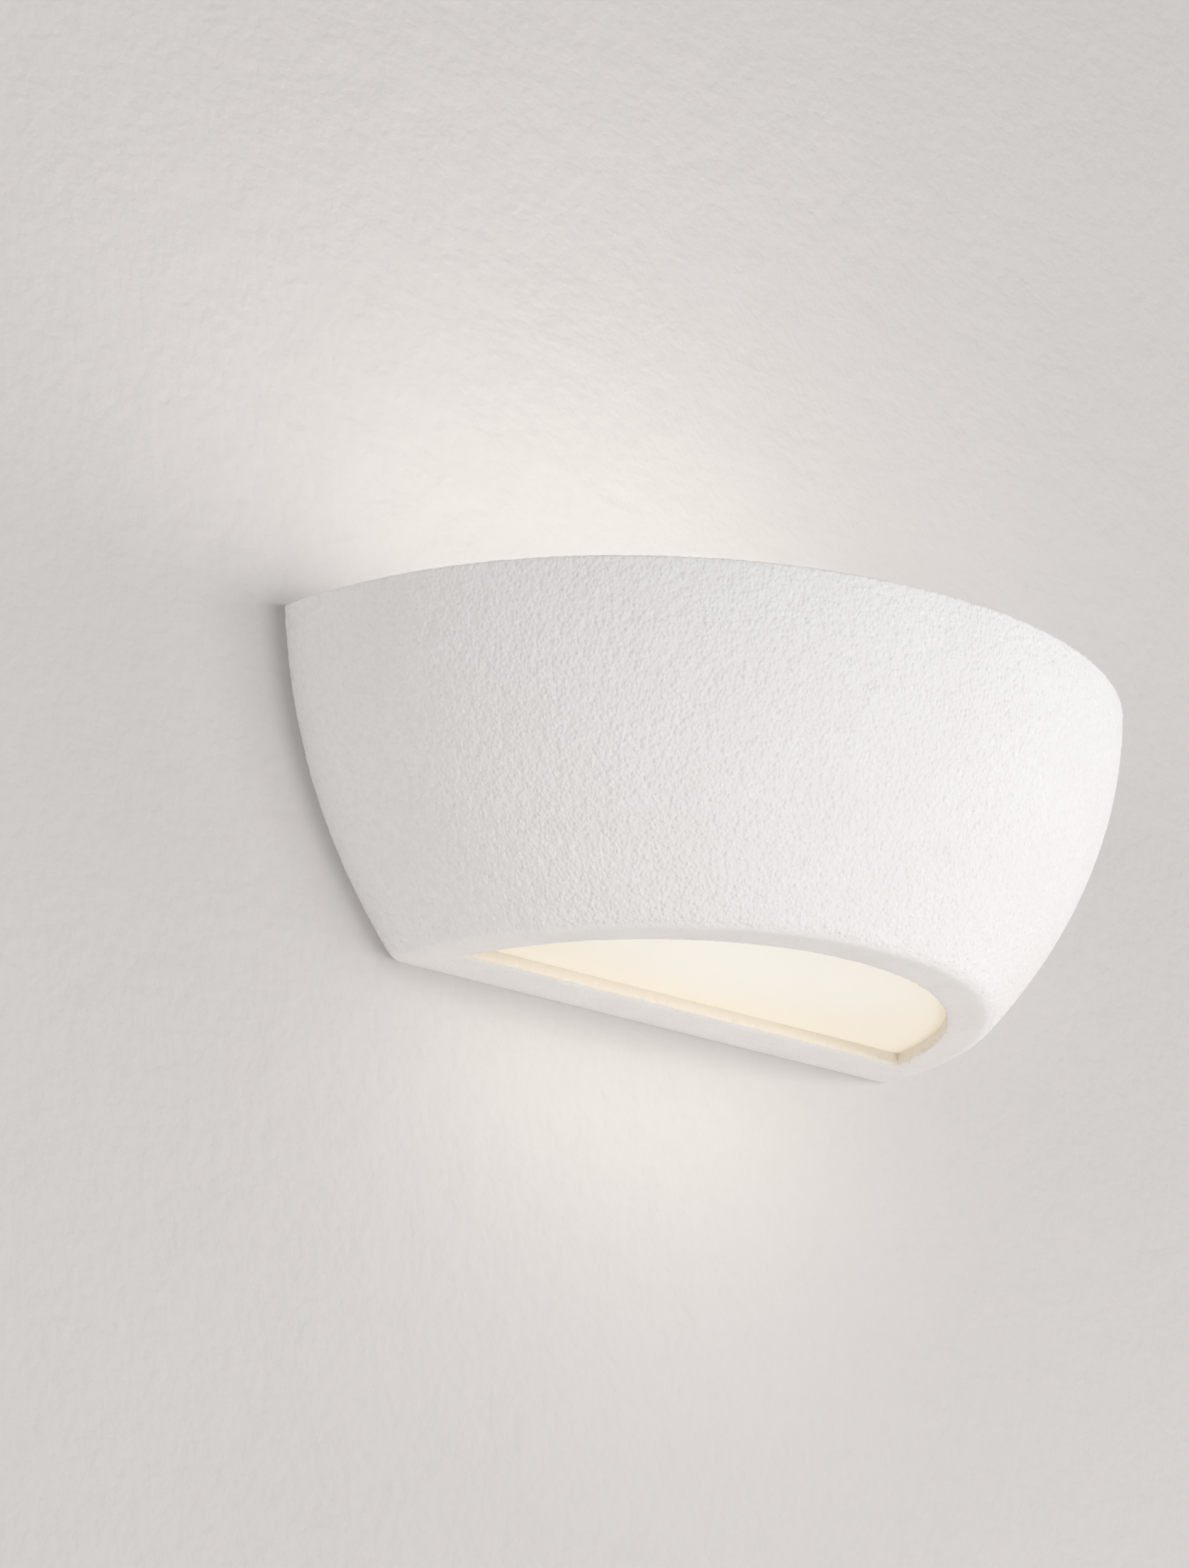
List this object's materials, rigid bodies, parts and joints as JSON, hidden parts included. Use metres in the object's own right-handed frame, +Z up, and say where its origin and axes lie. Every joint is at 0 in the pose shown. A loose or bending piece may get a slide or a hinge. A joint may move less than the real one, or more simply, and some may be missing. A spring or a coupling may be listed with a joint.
{
  "type": "uplighter wall sconce",
  "caption": "Half-bowl plaster wall uplighter with a half-round frosted window in its floor, hung on a steel wall bar that carries a linear lamp.",
  "frame": {"origin": "middle of the two wall slots, on the wall plane that the bar's back and the bowl's back edges lie on", "axes": "+X along the wall to the right as seen from the room, +Y into the wall, +Z up"},
  "size_m": [0.2998, 0.1497, 0.1045],
  "materials": {
    "plaster": "unglazed cast plaster, pebbled outside and sanded smooth underneath",
    "frosted_glass": "acid-etched heat-resistant glass",
    "zinc_steel": "bright zinc-plated pressed steel",
    "black_rubber": "soft moulded rubber",
    "knurled_brass": "turned and knurled brass",
    "natural_nylon": "natural nylon",
    "white_steatite": "dense white lamp-holder ceramic",
    "mica": "thin mica sheet",
    "copper": "tinned copper contact",
    "spring_steel": "bright spring wire",
    "clear_quartz": "clear fused quartz",
    "lamp_ceramic": "matt white ceramic",
    "nickel": "nickel-plated contact face",
    "tungsten": "drawn tungsten wire",
    "bright_aluminium": "hammered bright aluminium sheet",
    "white_plastic": "white moulded terminal plastic",
    "terminal_brass": "machined brass",
    "glass_sleeve": "braided glass-fibre sleeving",
    "green_sleeve": "green and yellow sleeving"
  },
  "bodies": {
    "wall_fixing": {"wall_bar": "zinc_steel", "clinch_nuts": "zinc_steel", "cable_bush": "black_rubber", "lamp_cradle": "zinc_steel", "cradle_screws": "zinc_steel", "holder_sprung": "white_steatite", "holder_fixed": "white_steatite", "holder_micas": "mica", "holder_screws": "zinc_steel", "contact_spring": "spring_steel", "contact_fixed": "copper", "reflector": "bright_aluminium", "reflector_rivets": "bright_aluminium", "terminal_block": "white_plastic", "terminal_tubes": "terminal_brass", "terminal_screws": "zinc_steel", "block_screws": "zinc_steel", "earth_screw": "terminal_brass", "earth_tag": "nickel", "lead_clips": "natural_nylon", "live_lead": "glass_sleeve", "neutral_lead": "glass_sleeve", "earth_lead": "green_sleeve"},
    "bowl": {"bowl": "plaster", "corner_lugs": "plaster"},
    "diffuser": {"diffuser_pane": "frosted_glass"},
    "washer_left": {"washer_left": "natural_nylon"},
    "washer_right": {"washer_right": "natural_nylon"},
    "thumbscrew_left": {"thumbscrew_left": "knurled_brass"},
    "thumbscrew_right": {"thumbscrew_right": "knurled_brass"},
    "lamp": {"lamp_tube": "clear_quartz", "lamp_caps": "lamp_ceramic", "lamp_buttons": "nickel", "lamp_filament": "tungsten"},
    "plunger": {"contact_plunger": "copper"}
  },
  "joints": [
    {"name": "bowl_off", "type": "slide", "parent": "wall_fixing", "child": "bowl", "axis": [0, -1, 0], "range_m": [0, 0.17]},
    {"name": "pane_lift", "type": "slide", "parent": "bowl", "child": "diffuser", "axis": [0, 0, 1], "range_m": [0, 0.054]},
    {"name": "left_screw_out", "type": "slide", "parent": "bowl", "child": "washer_left", "axis": [0, -1, 0], "range_m": [0, 0.00721]},
    {"name": "left_screw_turn", "type": "hinge", "parent": "washer_left", "child": "thumbscrew_left", "pos_m": [-0.11474, -0.03, 0], "axis": [0, -1, 0], "range_deg": [0, 3240]},
    {"name": "right_screw_out", "type": "slide", "parent": "bowl", "child": "washer_right", "axis": [0, -1, 0], "range_m": [0, 0.00721]},
    {"name": "right_screw_turn", "type": "hinge", "parent": "washer_right", "child": "thumbscrew_right", "pos_m": [0.11474, -0.03, 0], "axis": [0, -1, 0], "range_deg": [0, 3240]},
    {"name": "lamp_push", "type": "slide", "parent": "wall_fixing", "child": "lamp", "axis": [-1, 0, 0], "range_m": [0, 0.0035], "stiffness_N_per_m": 2500},
    {"name": "plunger_push", "type": "slide", "parent": "wall_fixing", "child": "plunger", "axis": [-1, 0, 0], "range_m": [0, 0.0035], "deforming": ["contact_spring"]}
  ],
  "couplings": [
    {"joint": "left_screw_out", "follows": "left_screw_turn", "m_per_rad": 0.00012732},
    {"joint": "right_screw_out", "follows": "right_screw_turn", "m_per_rad": 0.00012732},
    {"joint": "plunger_push", "follows": "lamp_push", "ratio": 1}
  ]
}
